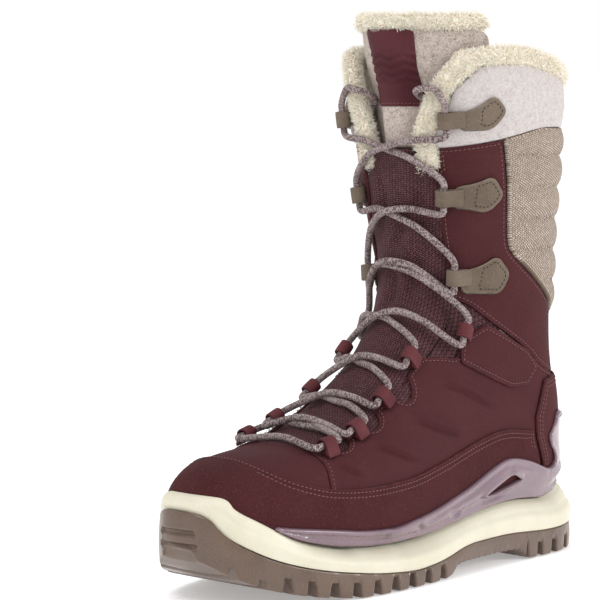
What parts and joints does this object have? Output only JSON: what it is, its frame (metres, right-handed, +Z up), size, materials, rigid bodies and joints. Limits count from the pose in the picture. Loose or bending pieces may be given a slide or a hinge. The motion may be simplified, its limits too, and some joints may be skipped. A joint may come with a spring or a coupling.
{
  "type": "insulated winter walking boot",
  "caption": "Tall lined lace-up winter walking boot, left foot, with lugged sole, side frame, webbing loops, lace tabs and a flexing upper tongue.",
  "frame": {"origin": "centre of the heel's tread face, on the floor", "axes": "+Z up the shaft, -Y towards the toe, +X towards the outer side of the foot"},
  "size_m": [0.1144, 0.295, 0.306],
  "materials": {
    "rubber": "matt brown moulded rubber",
    "foam": "cream moulded polyurethane",
    "frame_plastic": "mauve satin moulded plastic",
    "suede": "dark wine suede",
    "nubuck": "dark wine nubuck",
    "knit": "taupe quilted knit",
    "felt": "grey wool felt",
    "fleece": "cream short-pile fleece",
    "board": "stiff fibre board",
    "mesh": "wine woven mesh",
    "steel": "plain steel",
    "webbing": "wine woven webbing",
    "tab_leather": "grey-green suede",
    "lace_cord": "speckled round braid",
    "aglet_plastic": "clear-ish hard plastic tip"
  },
  "bodies": {
    "boot": {"outsole": "rubber", "midsole": "foam", "stabilizer_frame": "frame_plastic", "toe_rand": "suede", "heel_counter_panel": "nubuck", "ankle_strap_lateral": "nubuck", "ankle_strap_medial": "nubuck", "vamp": "nubuck", "quarter_lateral": "nubuck", "quarter_medial": "nubuck", "shaft_panel_lateral": "nubuck", "shaft_panel_medial": "nubuck", "rear_knit_panel": "knit", "collar_felt": "felt", "lining": "fleece", "collar_fur_trim": "fleece", "toe_puff": "board", "heel_stiffener": "board", "insole_board": "board", "gusset_lateral": "mesh", "gusset_medial": "mesh", "shank": "steel", "tongue_mesh": "mesh", "webbing_loop_lateral_1": "webbing", "webbing_loop_medial_1": "webbing", "webbing_loop_lateral_2": "webbing", "webbing_loop_medial_2": "webbing", "webbing_loop_lateral_3": "webbing", "webbing_loop_medial_3": "webbing", "webbing_loop_lateral_4": "webbing", "webbing_loop_medial_4": "webbing", "webbing_loop_lateral_5": "webbing", "webbing_loop_medial_5": "webbing", "lace_tab_lateral_1": "tab_leather", "lace_tab_medial_1": "tab_leather", "lace_tab_lateral_2": "tab_leather", "lace_tab_medial_2": "tab_leather", "lace_tab_lateral_3": "tab_leather", "lace_tab_medial_3": "tab_leather", "lace": "lace_cord", "aglet_lateral": "aglet_plastic", "aglet_medial": "aglet_plastic"},
    "upper_tongue": {"tongue_felt": "felt", "tongue_fur_trim": "fleece", "tongue_label": "webbing"},
    "footbed": {"footbed": "felt"}
  },
  "joints": [
    {"name": "tongue_flex", "type": "hinge", "parent": "boot", "child": "upper_tongue", "pos_m": [0, -0.073, 0.2325], "axis": [-1, 0, 0], "range_deg": [0, 15], "stiffness_Nm_per_rad": 0.15},
    {"name": "footbed_lift", "type": "hinge", "parent": "boot", "child": "footbed", "pos_m": [0, -0.233, 0.04], "axis": [1, 0, 0], "range_deg": [0, 8]}
  ]
}
